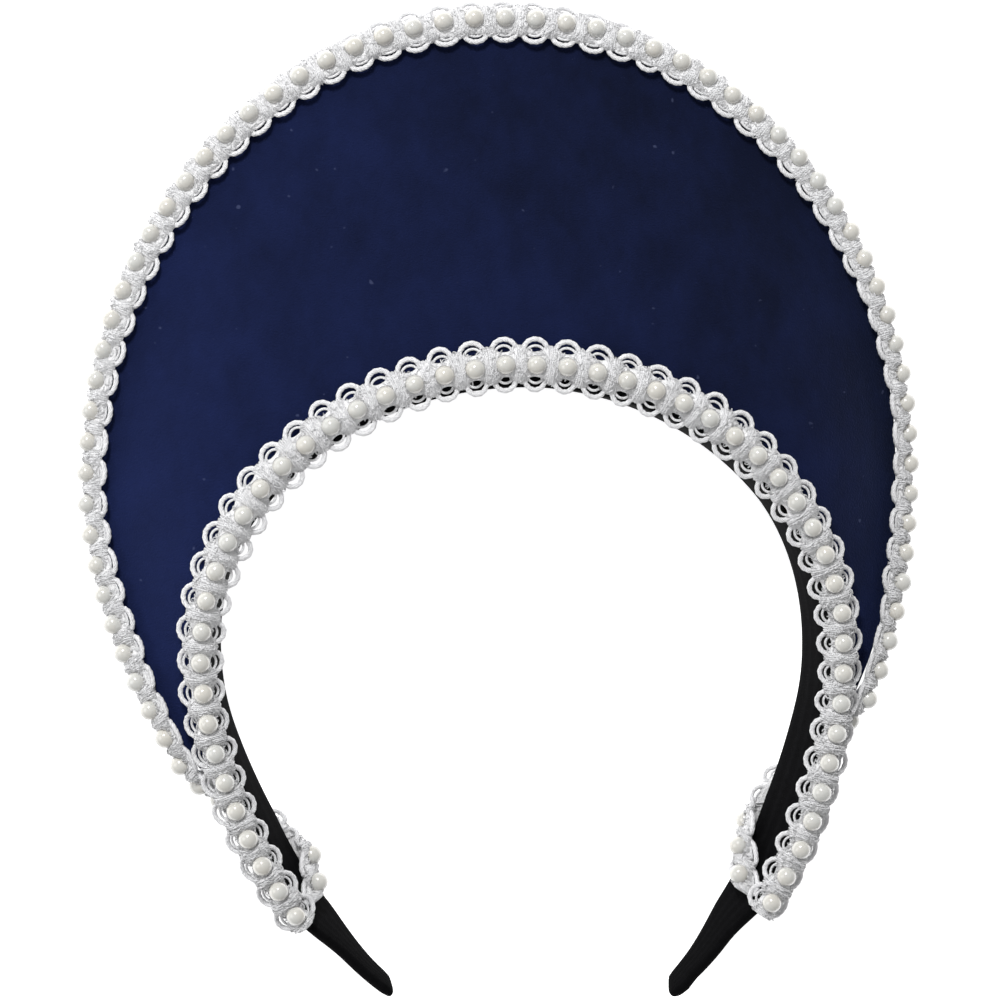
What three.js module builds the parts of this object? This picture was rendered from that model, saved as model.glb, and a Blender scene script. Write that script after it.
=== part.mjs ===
// Costume French hood on a headband, lying on its back with its velvet face up.
// Lengths are in millimetres. X runs across the head, Y from the tips to the crown, and Z up out of the velvet
// face.
import * as THREE from 'three';
import * as BufferGeometryUtils from 'three/addons/utils/BufferGeometryUtils.js';

const degrees = THREE.MathUtils.degToRad;

// Headband: its inner front edge follows half an ellipse over the crown and a little below the widest level.
// From there each leg bends in more and more to its tip.
const HEAD_HALF_WIDTH = 69.8;
const CROWN_RISE = 61.8;
const LEG_REACH = 70.5;
const LEG_BEND = degrees(12);
const LEG_LENGTH = 71.5;
const TIP_BEND = degrees(54);
const LEG_TIGHTENING = 1.24;
const CROWN_OFFSET = 0.4;
const LEG_DRIFT = 4.4;
const BAND_WIDTH = 14;
const BAND_THICKNESS = 2.6;
const BAND_EDGE_ROUND = 0.8;
const BAND_CROWN_HEIGHT = 25;
const BAND_TIP_HEIGHT = 19.5;
const BAND_TWIST = degrees(31);
const TIP_ROUND = 2.8;

// Crescent panel: its rim is an arch that stands over the headband, and both ends come down to it
const RIM_HALF_WIDTH = 89.4;
const RIM_RISE = 99.6;
const RIM_FALL = 100.4;
const RIM_CENTRE_RISE = 42.4;
const RIM_HEIGHT = 4.6;
const PANEL_THICKNESS = 2.2;
const PANEL_BULGE = 2.4;
const PANEL_TIP_WIDTH = 2.6;
const PANEL_CLOSING = 0.72;
const PANEL_END_RANGE = { from: degrees(100), to: degrees(150) };

// Pearl braid: a woven strip with a loop on both edges beside every pearl
const PEARL_DIAMETER = 4.4;
const PEARL_PITCH = 6.8;
const BRAID_THICKNESS = 1.1;
const BRAID_LOOP_REACH = 6.2;
const BRAID_NOTCH_REACH = 4.3;
const INNER_END_GAP = 27;
const OUTER_END_GAP = 29;
const CROWN_PEARL_INSET = 1.7;
const FRONT_CORE_HALF = 1.5;
const OUTER_LEG_START = degrees(8);
const FOLD_LIMIT = degrees(95);
const LEAST_ROOM = 0.1;

// Three stations for each pearl: a notch between two pearls, and both shoulders of the loops beside one
const STATIONS_PER_PEARL = 3;
const LOOP_SHOULDER = 0.29;

// Fits between the pieces
const CLEARANCE = 0.3;
const PEARL_SEAT_GAP = 1;
const FOLD_CLEARANCE = 0.65;

// Half the width that the folded braid leaves open for the band's edge and for the panel's
const BAND_CLASP = BAND_THICKNESS / 2 + FOLD_CLEARANCE;
const PANEL_CLASP = PANEL_THICKNESS / 2 + FOLD_CLEARANCE;
const SEAT_RISE = FOLD_CLEARANCE + BRAID_THICKNESS;

// Mesh fineness
const BAND_STEPS = 44;
const PANEL_STEPS = 44;
const PATH_STEPS = 400;
const OUTER_LEG_STEPS = 60;
const LEG_PLAN_STEPS = 24;
const HALVINGS = 40;
const TURN_STEP = degrees(0.2);
const SHARE_STEP = 0.002;
const WELD = 1e-4;
const TINY = 1e-6;

// Headband sections from the crown to a tip. at is the share of the turn, twist the share of BAND_TWIST and
// width the share of BAND_WIDTH.
const BAND_SECTIONS = [
  { at: 0, twist: 0.1, width: 1 },
  { at: 0.35, twist: 0.2, width: 1 },
  { at: 0.57, twist: 0.62, width: 1 },
  { at: 0.75, twist: 1, width: 1 },
  { at: 0.88, twist: 1, width: 0.9 },
  { at: 0.985, twist: 0.85, width: 0.58 },
  { at: 1, twist: 0.8, width: 0.34 },
];

// Inner braid sections from the crown to its end. outset, as a share of the loop reach, is how far the pearls
// sit outside the band's inner front edge. droop_in and droop_out are how far both halves bend down, in turns.
const INNER_TRIM_SECTIONS = [
  { at: 0, outset: 0.86, droop_in: 0, droop_out: 0.035 },
  { at: 0.3, outset: 0.66, droop_in: 0.01, droop_out: 0.055 },
  { at: 0.52, outset: 0.44, droop_in: 0.045, droop_out: 0.09 },
  { at: 0.68, outset: 0.28, droop_in: 0.09, droop_out: 0.115 },
  { at: 1, outset: 0.16, droop_in: 0.12, droop_out: 0.12 },
];

// Between two rows of a table a value runs partly straight and partly eased
const TABLE_EASE = 0.4;

function fromTable(table, at, column) {
  const next = Math.max(1, table.findIndex((row) => row.at >= at));
  const low = table[next - 1];
  const high = table[next];
  const straight = THREE.MathUtils.clamp((at - low.at) / (high.at - low.at), 0, 1);
  const share = THREE.MathUtils.lerp(straight, THREE.MathUtils.smoothstep(at, low.at, high.at), TABLE_EASE);
  return THREE.MathUtils.lerp(low[column], high[column], share);
}

// The turn from the crown, positive towards +X, at which a leg begins and at which it ends
const BEND_END = Math.PI / 2 + LEG_BEND;
const BAND_END = BEND_END + LEG_LENGTH / LEG_REACH;

// How far a leg has run in and down after a length of it, summed over short straight steps
function legRun(length) {
  const step = length / LEG_PLAN_STEPS;
  let [inwards, down] = [0, 0];
  for (let i = 0; i < LEG_PLAN_STEPS; i += 1) {
    const share = ((i + 1 / 2) * step) / LEG_LENGTH;
    const bend = THREE.MathUtils.lerp(LEG_BEND, TIP_BEND, share ** LEG_TIGHTENING);
    inwards += step * Math.sin(bend);
    down += step * Math.cos(bend);
  }
  return { inwards, down };
}

// The plan of the band's inner front edge
function bandPlan(turn) {
  const bent = Math.min(Math.abs(turn), BEND_END);
  const { inwards, down } = legRun((Math.abs(turn) - bent) * LEG_REACH);
  const reach = bent < Math.PI / 2 ? CROWN_RISE : LEG_REACH;
  const x = HEAD_HALF_WIDTH * Math.sin(bent) - inwards;
  return { x: (turn < 0 ? -1 : 1) * x, y: reach * Math.cos(bent) - down };
}

const TIP_LEVEL = bandPlan(BAND_END).y;

function bandPoint(turn) {
  const { x, y } = bandPlan(turn);
  const fall = (CROWN_RISE - y) / (CROWN_RISE - TIP_LEVEL);
  const z = THREE.MathUtils.lerp(BAND_CROWN_HEIGHT, BAND_TIP_HEIGHT, fall);
  return new THREE.Vector3(x + CROWN_OFFSET + LEG_DRIFT * fall * fall, y, z);
}

// A station on the headband: its inner front edge, the direction out of the head opening and the strip's own
// directions
function bandStation(turn) {
  const along = bandPoint(turn + TURN_STEP).sub(bandPoint(turn - TURN_STEP));
  const out = new THREE.Vector3(-along.y, along.x, 0).normalize();
  const at = Math.min(1, Math.abs(turn) / BAND_END);
  const twist = BAND_TWIST * fromTable(BAND_SECTIONS, at, 'twist');
  const up = new THREE.Vector3(0, 0, 1);
  const back = out.clone().multiplyScalar(-Math.sin(twist)).addScaledVector(up, -Math.cos(twist));
  const through = out.clone().multiplyScalar(Math.cos(twist)).addScaledVector(up, -Math.sin(twist));
  const width = BAND_WIDTH * fromTable(BAND_SECTIONS, at, 'width');
  return { origin: bandPoint(turn), along: along.normalize(), out, up, back, through, width };
}

function offset(origin, ...steps) {
  const point = origin.clone();
  for (const [direction, length] of steps) point.addScaledVector(direction, length);
  return point;
}

// A closed skin over rings of corners: a cylinder geometry whose corners are moved to their places
function loft(rings) {
  const sides = rings[0].length;
  const geometry = new THREE.CylinderGeometry(1, 1, 1, sides, rings.length - 1);
  const position = geometry.attributes.position;
  for (let i = 0; i < position.count; i += 1) {
    const ring = rings[Math.round((1 / 2 - position.getY(i)) * (rings.length - 1))];
    const radius = Math.hypot(position.getX(i), position.getZ(i));
    const turn = Math.atan2(position.getX(i), position.getZ(i)) / (2 * Math.PI);
    const centre = ring.reduce((sum, corner) => sum.add(corner), new THREE.Vector3()).divideScalar(sides);
    const corner = radius < 1 / 2 ? centre : ring[(Math.round(turn * sides) + sides) % sides];
    position.setXYZ(i, corner.x, corner.y, corner.z);
  }
  return facingOut(geometry);
}

// Merges shared corners and turns the faces outwards
function facingOut(geometry) {
  geometry.deleteAttribute('normal');
  geometry.deleteAttribute('uv');
  const merged = BufferGeometryUtils.mergeVertices(geometry, WELD);
  const { array } = merged.index;
  const corners = [0, 1, 2].map(() => new THREE.Vector3());
  let volume = 0;
  for (let i = 0; i < array.length; i += 3) {
    corners.forEach((corner, k) => corner.fromBufferAttribute(merged.attributes.position, array[i + k]));
    volume += corners[0].dot(corners[1].clone().cross(corners[2]));
  }
  if (volume < 0) {
    for (let i = 0; i < array.length; i += 3) [array[i], array[i + 1]] = [array[i + 1], array[i]];
  }
  merged.computeVertexNormals();
  return merged;
}

function headbandGeometry() {
  const rings = [];
  for (let i = 0; i <= BAND_STEPS; i += 1) {
    const share = (2 * i) / BAND_STEPS - 1;
    rings.push(bandRing(bandStation(share * BAND_END)));
    if (i === 0 || i === BAND_STEPS - 1) {
      rings.push(bandRing(bandStation(Math.sign(share) * (BAND_END - TIP_ROUND / LEG_REACH))));
    }
  }
  return loft(rings);
}

function bandRing({ origin, back, through, width }) {
  const half = BAND_THICKNESS / 2;
  const round = Math.min(BAND_EDGE_ROUND, width / 4);
  return [
    offset(origin, [through, half]),
    offset(origin, [through, BAND_THICKNESS], [back, round]),
    offset(origin, [through, BAND_THICKNESS], [back, width - round]),
    offset(origin, [through, half], [back, width]),
    offset(origin, [back, width - round]),
    offset(origin, [back, round]),
  ];
}

// The rim's plan: an arch about a centre above the band's widest level
function rimPlan(turn) {
  const reach = Math.abs(turn) < Math.PI / 2 ? RIM_RISE : RIM_FALL;
  return new THREE.Vector3(RIM_HALF_WIDTH * Math.sin(turn), RIM_CENTRE_RISE + reach * Math.cos(turn), 0);
}

// The turn on the band at a level, found by halving
function bandTurnAt(side, level) {
  let [near, far] = [0, BAND_END];
  for (let i = 0; i < HALVINGS; i += 1) {
    const middle = (near + far) / 2;
    if (bandPlan(middle).y > level) near = middle;
    else far = middle;
  }
  return side * near;
}

// Where the panel's end meets the band: the turns on the rim and on the band at one level, found by halving
function panelEnd(side) {
  const width = (turn) => {
    const rim = rimPlan(turn);
    const { origin, through } = bandStation(bandTurnAt(side, rim.y));
    return side * (rim.x - offset(origin, [through, BAND_THICKNESS]).x);
  };
  let [near, far] = [side * PANEL_END_RANGE.from, side * PANEL_END_RANGE.to];
  for (let i = 0; i < HALVINGS; i += 1) {
    const middle = (near + far) / 2;
    if (width(middle) > PANEL_TIP_WIDTH) near = middle;
    else far = middle;
  }
  return { rim: near, band: bandTurnAt(side, rimPlan(near).y) };
}

const PANEL_ENDS = { left: panelEnd(-1), right: panelEnd(1) };

// A generator line of the panel from the band to the rim. share runs from -1 at the left end to 1 at the right
// one.
function panelLine(share) {
  const end = share < 0 ? PANEL_ENDS.left : PANEL_ENDS.right;
  const band = bandStation(Math.abs(share) * end.band);
  const innerFront = offset(band.origin, [band.through, BAND_THICKNESS + CLEARANCE], [band.back, CLEARANCE]);
  const innerBack = offset(innerFront, [band.back, PANEL_THICKNESS]);
  const inner = innerFront.clone().lerp(innerBack, 1 / 2);
  const rim = rimPlan(Math.abs(share) * end.rim);
  const nearEnd = THREE.MathUtils.smoothstep(Math.abs(share), PANEL_CLOSING, 1);
  rim.z = THREE.MathUtils.lerp(RIM_HEIGHT, inner.z - PANEL_TIP_WIDTH, nearEnd);
  const width = inner.distanceTo(rim);
  const middle = inner.clone().lerp(rim, 1 / 2);
  const bulge = Math.min(1, width / (RIM_RISE / 2));
  middle.z += PANEL_BULGE * bulge * bulge;
  return { inner, innerFront, innerBack, middle, rim, width };
}

// Directions at the rim: out of the panel, along the rim, and up out of its velvet face
function rimStation(share) {
  const line = panelLine(share);
  const side = share > 1 - SHARE_STEP ? -1 : 1;
  const along = panelLine(share + side * SHARE_STEP).rim.sub(line.rim).multiplyScalar(side).normalize();
  const across = line.rim.clone().sub(line.middle);
  const out = across.addScaledVector(along, -across.dot(along)).normalize();
  const face = out.clone().cross(along).multiplyScalar(-1);
  if (face.z < 0) face.negate();
  return { ...line, along, out, face: face.normalize() };
}

function panelGeometry() {
  const rings = [];
  const half = PANEL_THICKNESS / 2;
  for (let i = 0; i <= PANEL_STEPS; i += 1) {
    const share = (2 * i) / PANEL_STEPS - 1;
    const { innerFront, innerBack, middle, rim, face } = rimStation(share);
    rings.push([
      innerFront, offset(middle, [face, half]), offset(rim, [face, half]),
      offset(rim, [face, -half]), offset(middle, [face, -half]), innerBack,
    ]);
  }
  return loft(rings);
}

// Evenly spaced stations along a list of close ones
function spaced(stations, count) {
  const lengths = [0];
  for (let i = 1; i < stations.length; i += 1) {
    lengths.push(lengths[i - 1] + stations[i].seat.distanceTo(stations[i - 1].seat));
  }
  const total = lengths[lengths.length - 1];
  const result = [];
  for (let i = 0; i < count; i += 1) {
    const length = (total * i) / (count - 1);
    const next = Math.max(1, lengths.findIndex((value) => value >= length - TINY));
    const share = (length - lengths[next - 1]) / (lengths[next] - lengths[next - 1]);
    const station = {};
    for (const [key, value] of Object.entries(stations[next])) {
      const before = stations[next - 1][key];
      station[key] = value.isVector3
        ? before.clone().lerp(value, share) : THREE.MathUtils.lerp(before, value, share);
      if (value.isVector3 && key !== 'seat') station[key].normalize();
    }
    result.push(station);
  }
  return { stations: result, total };
}

// Inner braid: over the panel at the crown, and over the band's front edge down both legs
function innerTrimStations() {
  const stations = [];
  const end = BAND_END - INNER_END_GAP / LEG_REACH;
  for (let i = 0; i <= PATH_STEPS; i += 1) {
    const turn = ((2 * i) / PATH_STEPS - 1) * end;
    const { origin, along, out, up } = bandStation(turn);
    const at = Math.abs(turn) / end;
    const outset = BRAID_LOOP_REACH * fromTable(INNER_TRIM_SECTIONS, at, 'outset');
    const droopIn = 2 * Math.PI * fromTable(INNER_TRIM_SECTIONS, at, 'droop_in');
    const droopOut = 2 * Math.PI * fromTable(INNER_TRIM_SECTIONS, at, 'droop_out');
    const lift = 2 * CLEARANCE + outset * Math.sin(droopIn) + BRAID_THICKNESS;
    stations.push({ seat: offset(origin, [out, outset], [up, lift]), along, out, up, droopIn, droopOut });
  }
  return stations;
}

// The braid's outline beside every pearl: a notch, and the loop's two shoulders
function scalloped(stations, count) {
  return spaced(stations, count * STATIONS_PER_PEARL + 1).stations.map((station, i) => {
    const phase = i % STATIONS_PER_PEARL;
    const notch = phase === 0;
    const towards = notch ? 0 : 3 - 2 * phase;
    const shift = PEARL_PITCH * (1 / 2 - LOOP_SHOULDER - 1 / STATIONS_PER_PEARL);
    const seat = offset(station.seat, [station.along, towards * shift]);
    return { ...station, seat, reach: notch ? BRAID_NOTCH_REACH : BRAID_LOOP_REACH };
  });
}

function innerBraidGeometry(stations, count) {
  const edge = BRAID_THICKNESS / 2;
  const rings = scalloped(stations, count).map(({ seat, out, up, droopIn, droopOut, reach }) => [
    seat,
    offset(seat, [out, reach * Math.cos(droopOut)], [up, -reach * Math.sin(droopOut) - edge]),
    offset(seat, [up, -BRAID_THICKNESS]),
    offset(seat, [out, -reach * Math.cos(droopIn)], [up, -reach * Math.sin(droopIn) - edge]),
  ]);
  return loft(rings);
}

// Rings of corners down a round pearl from its pole to the flat that it is seated on
const PEARL_RINGS = [
  { polar: degrees(45), sides: 10 },
  { polar: degrees(90), sides: 10 },
  { polar: degrees(130), sides: 6 },
];

// A string of pearls seated on a braid, joined by the thread that runs from one to the next
function pearlStringGeometry(seats) {
  const radius = PEARL_DIAMETER / 2;
  const [top, equator, seatRing] = PEARL_RINGS;
  const starts = [1, 1 + top.sides, 1 + top.sides + equator.sides];
  const perPearl = starts[2] + seatRing.sides;
  const positions = [];
  const indices = [];
  // The equator's corners stand half a step off the thread's line, and the seat's corners on it
  const angleOf = (ring, k) => (2 * Math.PI * (ring === 2 ? k : k - 1 / 2)) / PEARL_RINGS[ring].sides;
  const nearest = (ring, angle) => {
    const { sides } = PEARL_RINGS[ring];
    const share = (angle - angleOf(ring, 0)) / (2 * Math.PI);
    return Math.round(share * sides + TINY) % sides;
  };
  seats.forEach(({ seat, along, facing }, pearl) => {
    const across = facing.clone().cross(along).normalize();
    const forward = across.clone().cross(facing).normalize();
    const centre = offset(seat, [facing, PEARL_SEAT_GAP - radius * Math.cos(seatRing.polar)]);
    positions.push(...offset(centre, [facing, radius]).toArray());
    PEARL_RINGS.forEach(({ polar, sides }, ring) => {
      for (let k = 0; k < sides; k += 1) {
        const angle = angleOf(ring, k);
        const spread = radius * Math.sin(polar);
        positions.push(...offset(centre, [facing, radius * Math.cos(polar)],
          [forward, spread * Math.cos(angle)], [across, spread * Math.sin(angle)]).toArray());
      }
    });
    const at = (ring, k) => pearl * perPearl + starts[ring] + (k % PEARL_RINGS[ring].sides);
    for (let k = 0; k < top.sides; k += 1) {
      indices.push(pearl * perPearl, at(0, k), at(0, k + 1));
      indices.push(at(0, k), at(1, k), at(1, k + 1), at(0, k), at(1, k + 1), at(0, k + 1));
      const ahead = k === 0 && pearl < seats.length - 1;
      const behind = k === equator.sides / 2 && pearl > 0;
      const below = nearest(2, (angleOf(1, k) + angleOf(1, k + 1)) / 2);
      if (!ahead && !behind) indices.push(at(1, k), at(2, below), at(1, k + 1));
    }
    for (let k = 0; k < seatRing.sides; k += 1) {
      const above = nearest(1, (angleOf(2, k) + angleOf(2, k + 1)) / 2);
      indices.push(at(2, k), at(2, k + 1), at(1, above));
      if (k > 1) indices.push(at(2, 0), at(2, k), at(2, k - 1));
    }
    if (pearl > 0) {
      const back = equator.sides / 2;
      const here = [at(1, back + 1), at(1, back), at(2, seatRing.sides / 2)];
      const before = [at(1, 0), at(1, 1), at(2, 0)].map((index) => index - perPearl);
      for (let k = 0; k < 3; k += 1) {
        const next = (k + 1) % 3;
        indices.push(before[k], here[k], here[next], before[k], here[next], before[next]);
      }
    }
  });
  const geometry = new THREE.BufferGeometry();
  geometry.setAttribute('position', new THREE.Float32BufferAttribute(positions, 3));
  geometry.setIndex(indices);
  return facingOut(geometry);
}

// Outer braid beyond the panel's end: laid on the band's outer face, then rolled round its back edge. slide is
// the share of the band's width down to the pearls, roll the turn round the edge in quarter turns, room the share
// of the loops' reach that the braid has and cover the share that its front half has.
const ROLL_SECTIONS = [
  { at: 0, slide: 0.52, roll: 0, room: 0.5, cover: 1 },
  { at: 0.12, slide: 0.74, roll: 0.02, room: 0.9, cover: 1 },
  { at: 0.28, slide: 1, roll: 0.16, room: 1, cover: 1 },
  { at: 0.42, slide: 1, roll: 0.46, room: 1, cover: 0.8 },
  { at: 0.6, slide: 1, roll: 1.05, room: 1, cover: 0.5 },
  { at: 0.8, slide: 1, roll: 1.5, room: 1, cover: 0.35 },
  { at: 1, slide: 1, roll: 1.7, room: 1, cover: 0.35 },
];

function outerLegStations(side) {
  const list = [];
  const end = side < 0 ? PANEL_ENDS.left : PANEL_ENDS.right;
  const first = Math.abs(end.band) + OUTER_LEG_START;
  const last = BAND_END - OUTER_END_GAP / LEG_REACH;
  for (let i = 0; i <= OUTER_LEG_STEPS; i += 1) {
    const at = i / OUTER_LEG_STEPS;
    const band = bandStation(side * THREE.MathUtils.lerp(first, last, at));
    const { origin, along, back, through, width } = band;
    const roll = (Math.PI / 2) * fromTable(ROLL_SECTIONS, at, 'roll');
    const facing = offset(new THREE.Vector3(), [through, Math.cos(roll)], [back, Math.sin(roll)]);
    const front = offset(new THREE.Vector3(), [through, Math.sin(roll)], [back, -Math.cos(roll)]);
    const round = BAND_THICKNESS / 2;
    const down = (width - round) * fromTable(ROLL_SECTIONS, at, 'slide');
    const seat = offset(origin, [through, round], [back, down], [facing, round + SEAT_RISE]);
    const room = fromTable(ROLL_SECTIONS, at, 'room');
    list.push({
      seat, along, facing, front, room, droopFront: Math.min(roll, FOLD_LIMIT),
      droopBack: Math.min(roll, Math.PI - roll), halfFront: BAND_CLASP, halfBack: BAND_CLASP,
      cover: fromTable(ROLL_SECTIONS, at, 'cover'),
    });
  }
  return list;
}

// The braid on the rim, from the crown to the panel's end: lean is how far it is turned to the velvet face, as
// a share of a quarter turn, and cover is the share of its front half that lies on the velvet
const LEAN_SECTIONS = [
  { at: 0, lean: 0.86, cover: 0.84 },
  { at: 0.25, lean: 0.78, cover: 0.8 },
  { at: 0.45, lean: 0.72, cover: 0.75 },
  { at: 0.65, lean: 0.64, cover: 0.7 },
  { at: 0.85, lean: 0.5, cover: 0.6 },
  { at: 1, lean: 0.3, cover: 0.3 },
];

function rimTrimStation(share) {
  const { rim, along, out, face, width } = rimStation(share);
  const turned = fromTable(LEAN_SECTIONS, Math.abs(share), 'lean');
  const lean = (Math.PI / 2) * turned;
  const facing = offset(new THREE.Vector3(), [out, Math.cos(lean)], [face, Math.sin(lean)]);
  const front = offset(new THREE.Vector3(), [out, -Math.sin(lean)], [face, Math.cos(lean)]);
  const half = PANEL_THICKNESS / 2;
  const inset = THREE.MathUtils.lerp(-half, CROWN_PEARL_INSET, turned);
  const seat = offset(rim, [face, half], [front, inset], [facing, SEAT_RISE]);
  const spare = (width - BRAID_LOOP_REACH) / (2 * BRAID_LOOP_REACH);
  const room = THREE.MathUtils.clamp(spare, LEAST_ROOM, 1);
  return {
    seat, along, facing, front, room, droopFront: Math.PI / 2 - lean, droopBack: Math.PI / 2,
    halfFront: THREE.MathUtils.lerp(PANEL_CLASP, FRONT_CORE_HALF, turned),
    halfBack: THREE.MathUtils.lerp(PANEL_CLASP, CROWN_PEARL_INSET + PANEL_CLASP / 2, turned),
    cover: fromTable(LEAN_SECTIONS, Math.abs(share), 'cover'),
  };
}

function outerTrimStations() {
  const stations = [];
  for (let i = 0; i <= PATH_STEPS; i += 1) stations.push(rimTrimStation((2 * i) / PATH_STEPS - 1));
  return [...outerLegStations(-1).reverse(), ...stations, ...outerLegStations(1)];
}

function outerBraidGeometry(stations, count) {
  const rings = scalloped(stations, count).map((station) => {
    const { seat, facing, front, room, reach } = station;
    const half = (side) => (side > 0 ? station.halfFront : station.halfBack);
    const corner = (side) => offset(seat, [front, side * half(side)], [facing, -BRAID_THICKNESS]);
    const tip = (side) => {
      const droop = side > 0 ? station.droopFront : station.droopBack;
      const arm = (reach - half(side)) * room * (side > 0 ? station.cover : 1);
      const spread = arm * Math.cos(droop) + CLEARANCE;
      return offset(corner(side), [front, side * spread], [facing, -arm * Math.sin(droop)]);
    };
    const shoulder = (side) => offset(seat, [front, side * (half(side) + BRAID_THICKNESS / 2)]);
    return [shoulder(1), tip(1), corner(1), corner(-1), tip(-1), shoulder(-1)];
  });
  return loft(rings);
}

const MATERIALS = {
  blackCloth: new THREE.MeshStandardMaterial({ color: 0x111113, roughness: 0.85, metalness: 0 }),
  navyVelvet: new THREE.MeshStandardMaterial({ color: 0x17234f, roughness: 0.95, metalness: 0 }),
  whiteBraid: new THREE.MeshStandardMaterial({ color: 0xe9e9ef, roughness: 0.6, metalness: 0 }),
  pearl: new THREE.MeshStandardMaterial({ color: 0xf3f0ea, roughness: 0.2, metalness: 0 }),
};

const hood = new THREE.Group();

function addPiece(name, geometry, material) {
  const mesh = new THREE.Mesh(geometry, material);
  mesh.name = name;
  hood.add(mesh);
}

addPiece('headband', headbandGeometry(), MATERIALS.blackCloth);
addPiece('crescent_panel', panelGeometry(), MATERIALS.navyVelvet);

const innerPath = innerTrimStations();
const innerCount = Math.round(spaced(innerPath, 2).total / PEARL_PITCH);
addPiece('inner_braid', innerBraidGeometry(innerPath, innerCount), MATERIALS.whiteBraid);
const innerSeats = spaced(innerPath, innerCount * 2 + 1).stations.filter((station, i) => i % 2 === 1)
  .map((station) => ({ ...station, facing: station.up }));
addPiece('inner_pearls', pearlStringGeometry(innerSeats), MATERIALS.pearl);

const outerPath = outerTrimStations();
const outerCount = Math.round(spaced(outerPath, 2).total / PEARL_PITCH);
addPiece('outer_braid', outerBraidGeometry(outerPath, outerCount), MATERIALS.whiteBraid);
const outerSeats = spaced(outerPath, outerCount * 2 + 1).stations.filter((station, i) => i % 2 === 1);
addPiece('outer_pearls', pearlStringGeometry(outerSeats), MATERIALS.pearl);

// The origin is under the middle of the hood, at the level of what it rests on
const bounds = new THREE.Box3().setFromObject(hood);
const middle = bounds.getCenter(new THREE.Vector3());
hood.position.set(-middle.x, -middle.y, -bounds.min.z);

export default hood;
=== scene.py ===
"""Looks for a costume French hood: navy velvet crescent, black cloth headband and white pearl braid."""
import logging
import math
from dataclasses import dataclass, field
from enum import Enum
from functools import cached_property
from typing import NamedTuple, Sequence

import bmesh
import bpy
import numpy as np
from mathutils import Matrix, Vector, noise


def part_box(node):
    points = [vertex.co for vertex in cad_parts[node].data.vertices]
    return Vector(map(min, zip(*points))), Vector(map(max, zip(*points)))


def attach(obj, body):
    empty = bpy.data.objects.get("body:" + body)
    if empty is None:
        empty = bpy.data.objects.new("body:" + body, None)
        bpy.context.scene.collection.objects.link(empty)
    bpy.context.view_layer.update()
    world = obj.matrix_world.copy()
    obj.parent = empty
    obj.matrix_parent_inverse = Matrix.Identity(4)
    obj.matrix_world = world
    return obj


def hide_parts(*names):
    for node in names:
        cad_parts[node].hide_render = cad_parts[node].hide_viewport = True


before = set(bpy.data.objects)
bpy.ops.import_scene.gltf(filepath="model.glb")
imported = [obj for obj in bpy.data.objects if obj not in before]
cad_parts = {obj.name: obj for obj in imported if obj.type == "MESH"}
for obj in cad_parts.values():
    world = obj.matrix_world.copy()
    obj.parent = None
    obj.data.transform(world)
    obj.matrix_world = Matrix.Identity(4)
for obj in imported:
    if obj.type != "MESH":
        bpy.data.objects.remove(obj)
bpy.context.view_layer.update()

MM = 0.001
UP = Vector((0, 0, 1))
PATH_STEPS = 400  # stations of a braid's path along the whole band or rim
LEG_STEPS = 60  # stations of the outer braid's path on a leg
WAVE = 0.314  # a wave texture's scale for bands 1 m wide
GROOVE = 0.1  # depth of a twisted cord's grooves, as a share of its radius
LOG = logging.getLogger("hood")

Colour = tuple[float, float, float]
Ends = dict[int, tuple[float, float]]  # turns on the rim and on the band at each end of the crescent, by side
Station = dict[str, Vector | float]
BMesh = bmesh.types.BMesh
Material = bpy.types.Material
Piece = bpy.types.Object
Socket = bpy.types.NodeSocket


def mix(low: float, high: float, share: float) -> float:
    """Straight blend from low to high."""
    return low + (high - low) * share


def clamp(value: float, low: float = 0.0, high: float = 1.0) -> float:
    """Value kept between low and high."""
    return max(low, min(high, value))


def ease(value: float, low: float, high: float) -> float:
    """Smooth step from 0 at low to 1 at high."""
    share = clamp((value - low) / (high - low))
    return share * share * (3 - 2 * share)


def run_lengths(points: np.ndarray) -> np.ndarray:
    """Distance along a line at each of its points."""
    steps = np.linalg.norm(np.diff(points, axis=0), axis=1)
    return np.concatenate([[0], np.cumsum(steps)])


class BandRow(NamedTuple):
    """Headband section: share of the turn, of the twist and of the width."""

    at: float
    twist: float
    width: float


class InnerRow(NamedTuple):
    """Inner braid section: how far the pearls sit out, and how far both halves droop, in turns."""

    at: float
    outset: float
    droop_in: float
    droop_out: float


class LeanRow(NamedTuple):
    """Rim braid section: turn towards the velvet face, and share of its front half on the velvet."""

    at: float
    lean: float
    cover: float


class RollRow(NamedTuple):
    """Braid on the leg: slide down the band, roll round its edge, room for it and cover of its front half."""

    at: float
    slide: float
    roll: float
    room: float
    cover: float


def row_value(table: Sequence[NamedTuple], at: float, column: str) -> float:
    """Reads a column of a section table between two rows.

    Args:
        table: the rows, in order of their first column.
        at: where to read.
        column: the column's name.

    Returns:
        The blended value.
    """
    following = max(1, next((i for i, row in enumerate(table) if row.at >= at), len(table) - 1))
    low, high = table[following - 1], table[following]
    share = 0.4 * ease(at, low.at, high.at) + 0.6 * clamp((at - low.at) / (high.at - low.at))
    return mix(getattr(low, column), getattr(high, column), share)


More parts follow.
